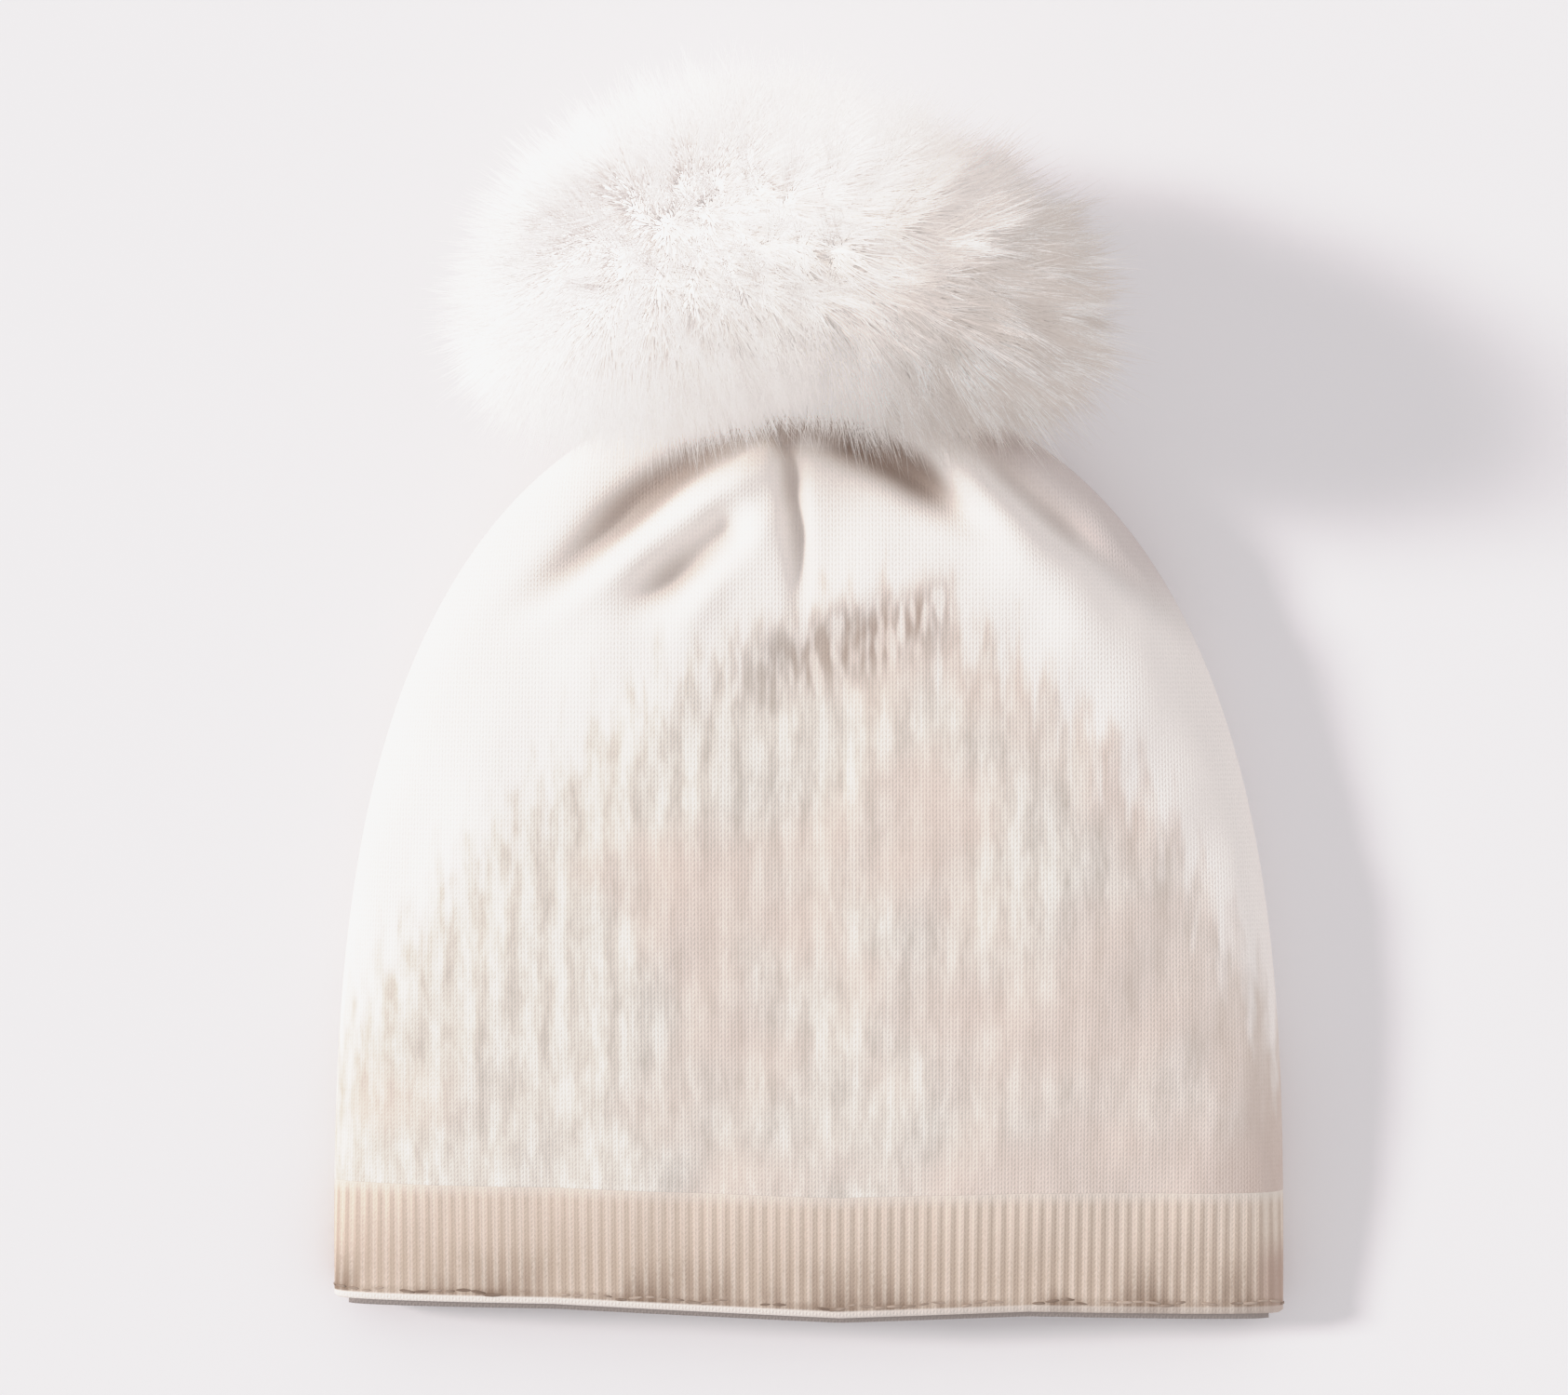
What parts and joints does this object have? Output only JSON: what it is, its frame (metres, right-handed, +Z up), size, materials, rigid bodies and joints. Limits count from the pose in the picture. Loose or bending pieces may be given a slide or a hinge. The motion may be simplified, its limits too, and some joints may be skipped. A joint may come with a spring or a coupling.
{
  "type": "pom pom beanie",
  "caption": "Fine-knit lined beanie laid flat, ribbed hem, streaked knit pattern, crown drawn in under a large white fur pom pom that snaps off.",
  "frame": {"origin": "under the middle of the whole object as it lies on a table, in the plane of the table", "axes": "+X across the hem, +Y from the hem to the pom pom, +Z up from the table, out of the hat's front"},
  "size_m": [0.218, 0.2825, 0.0948],
  "materials": {
    "pattern_knit": "white fine knit with beige streaks, matt",
    "rib_knit": "cream and beige rib, matt",
    "lining_knit": "cream plain knit, matt",
    "thread": "beige sewing thread",
    "felt": "off-white felt",
    "nickel": "nickel plated, satin",
    "plastic": "white plastic",
    "hide": "off-white pile backing",
    "filling": "white polyester fibre",
    "fur": "long white pile with a soft sheen",
    "label": "blank white satin"
  },
  "bodies": {
    "hat": {"knit_body": "pattern_knit", "rib_band": "rib_knit", "lining": "lining_knit", "hem_link_thread": "thread", "back_seam": "pattern_knit", "lining_seam": "lining_knit", "front_dart": "pattern_knit", "back_dart": "pattern_knit", "left_dart": "pattern_knit", "right_dart": "pattern_knit", "woven_label": "label", "label_stitches": "thread"},
    "crown_tip": {"crown_draw_thread": "thread"},
    "stud": {"crown_gather": "pattern_knit", "crown_patch": "felt", "stud_cap": "nickel", "snap_stud": "nickel"},
    "spring": {"snap_spring": "nickel"},
    "pom": {"snap_socket": "nickel", "socket_cap": "nickel", "pom_base_disc": "plastic", "pom_pelt": "hide", "pom_draw_thread": "thread", "pom_filling": "filling", "pom_fur": "fur"},
    "care_tag": {"care_label": "label"}
  },
  "joints": [
    {"name": "pom_nod", "type": "hinge", "parent": "hat", "child": "crown_tip", "pos_m": [0, 0.06415, 0.0185], "axis": [1, 0, 0], "range_deg": [-25, 20]},
    {"name": "pom_sway", "type": "hinge", "parent": "crown_tip", "child": "stud", "pos_m": [0, 0.06415, 0.0185], "axis": [0, -0.3746, 0.9272], "range_deg": [-10, 10]},
    {"name": "pom_pull_off", "type": "slide", "parent": "stud", "child": "spring", "axis": [0, 0.9272, 0.3746], "range_m": [0, 0.04]},
    {"name": "pom_spin", "type": "hinge", "parent": "spring", "child": "pom", "pos_m": [0, 0.06415, 0.0185], "axis": [0, 0.9272, 0.3746], "continuous": true},
    {"name": "care_label_flap", "type": "hinge", "parent": "hat", "child": "care_tag", "pos_m": [-0.072, -0.07675, 0.0051], "axis": [0, -1, 0], "range_deg": [0, 25]}
  ]
}
